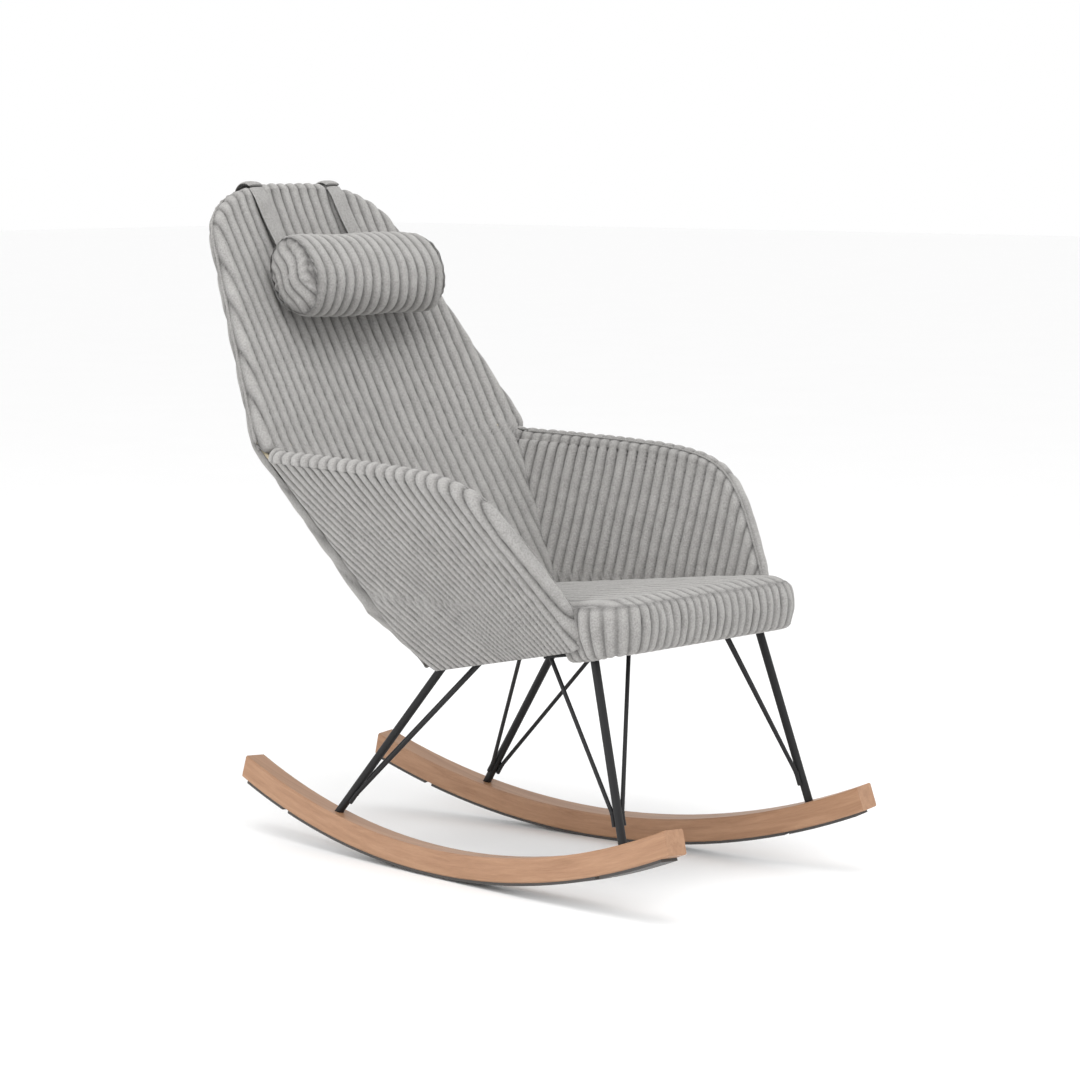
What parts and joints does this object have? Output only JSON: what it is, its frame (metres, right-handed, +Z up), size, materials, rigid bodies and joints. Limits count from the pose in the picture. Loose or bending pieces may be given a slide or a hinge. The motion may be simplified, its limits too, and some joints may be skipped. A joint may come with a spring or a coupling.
{
  "type": "rocking chair",
  "caption": "Upholstered lounge rocking chair: corduroy bucket shell with a strapped head pillow, on splayed black rod legs and curved wooden rockers.",
  "frame": {"origin": "on the floor under the middle of the chair's bounding box", "axes": "+Z up, the sitter faces -Y, +X to the sitter's left"},
  "size_m": [0.569, 0.9719, 0.9731],
  "materials": {
    "oak": "oiled oak, bent and laminated, satin",
    "felt": "dense dark grey felt",
    "black_steel": "black powder coat over steel",
    "frame_steel": "painted steel tube and wire, hidden in the foam",
    "zinc": "zinc-plated steel",
    "plywood": "birch plywood, unfinished",
    "lining": "black non-woven lining",
    "foam": "moulded polyurethane foam",
    "webbing": "grey hook-and-loop webbing",
    "corduroy": "light warm grey wide-wale corduroy"
  },
  "bodies": {
    "chair": {"rocker_left": "oak", "rocker_right": "oak", "felt_pads_left": "felt", "felt_pads_right": "felt", "leg_bar_front_left": "black_steel", "leg_bar_front_right": "black_steel", "leg_bar_rear_left": "black_steel", "leg_bar_rear_right": "black_steel", "rod_front_inner_left": "black_steel", "rod_front_inner_right": "black_steel", "rod_front_back_left": "black_steel", "rod_front_back_right": "black_steel", "rod_rear_inner_left": "black_steel", "rod_rear_inner_right": "black_steel", "rod_rear_fore_left": "black_steel", "rod_rear_fore_right": "black_steel", "leg_plate_front_left": "black_steel", "leg_plate_front_right": "black_steel", "leg_plate_rear_left": "black_steel", "leg_plate_rear_right": "black_steel", "rocker_bolts": "zinc", "plate_screws": "zinc", "dust_cover": "lining", "side_rails": "plywood", "front_rail": "plywood", "rear_rail": "plywood", "corner_blocks": "plywood", "seat_board": "plywood", "board_screws": "zinc", "seat_foam": "foam", "seat_cover": "corduroy", "seat_border": "corduroy", "back_hoop": "frame_steel", "back_foam": "foam", "back_cover_front": "corduroy", "back_cover_rear": "corduroy", "arm_wire_left": "frame_steel", "arm_wire_right": "frame_steel", "arm_foam_left": "foam", "arm_foam_right": "foam", "arm_cover_left": "corduroy", "arm_cover_right": "corduroy", "side_cover_left": "corduroy", "side_cover_right": "corduroy", "straps_front": "corduroy", "straps_top": "corduroy", "straps_rear": "corduroy", "loop_patches": "webbing"},
    "head_pillow": {"pillow_fill": "foam", "pillow_cover": "corduroy"},
    "strap_ends": {"strap_tabs": "webbing"}
  },
  "joints": [
    {"name": "pillow_slide", "type": "slide", "parent": "chair", "child": "head_pillow", "axis": [0, 0.5299, 0.848], "range_m": [-0.06, 0.04], "deforming": ["straps_front"]},
    {"name": "strap_ends_slide", "type": "slide", "parent": "chair", "child": "strap_ends", "axis": [0, 0.4924, 0.8704], "range_m": [-0.04, 0.06], "deforming": ["straps_rear"]}
  ],
  "couplings": [
    {"joint": "strap_ends_slide", "follows": "pillow_slide", "ratio": -1}
  ]
}
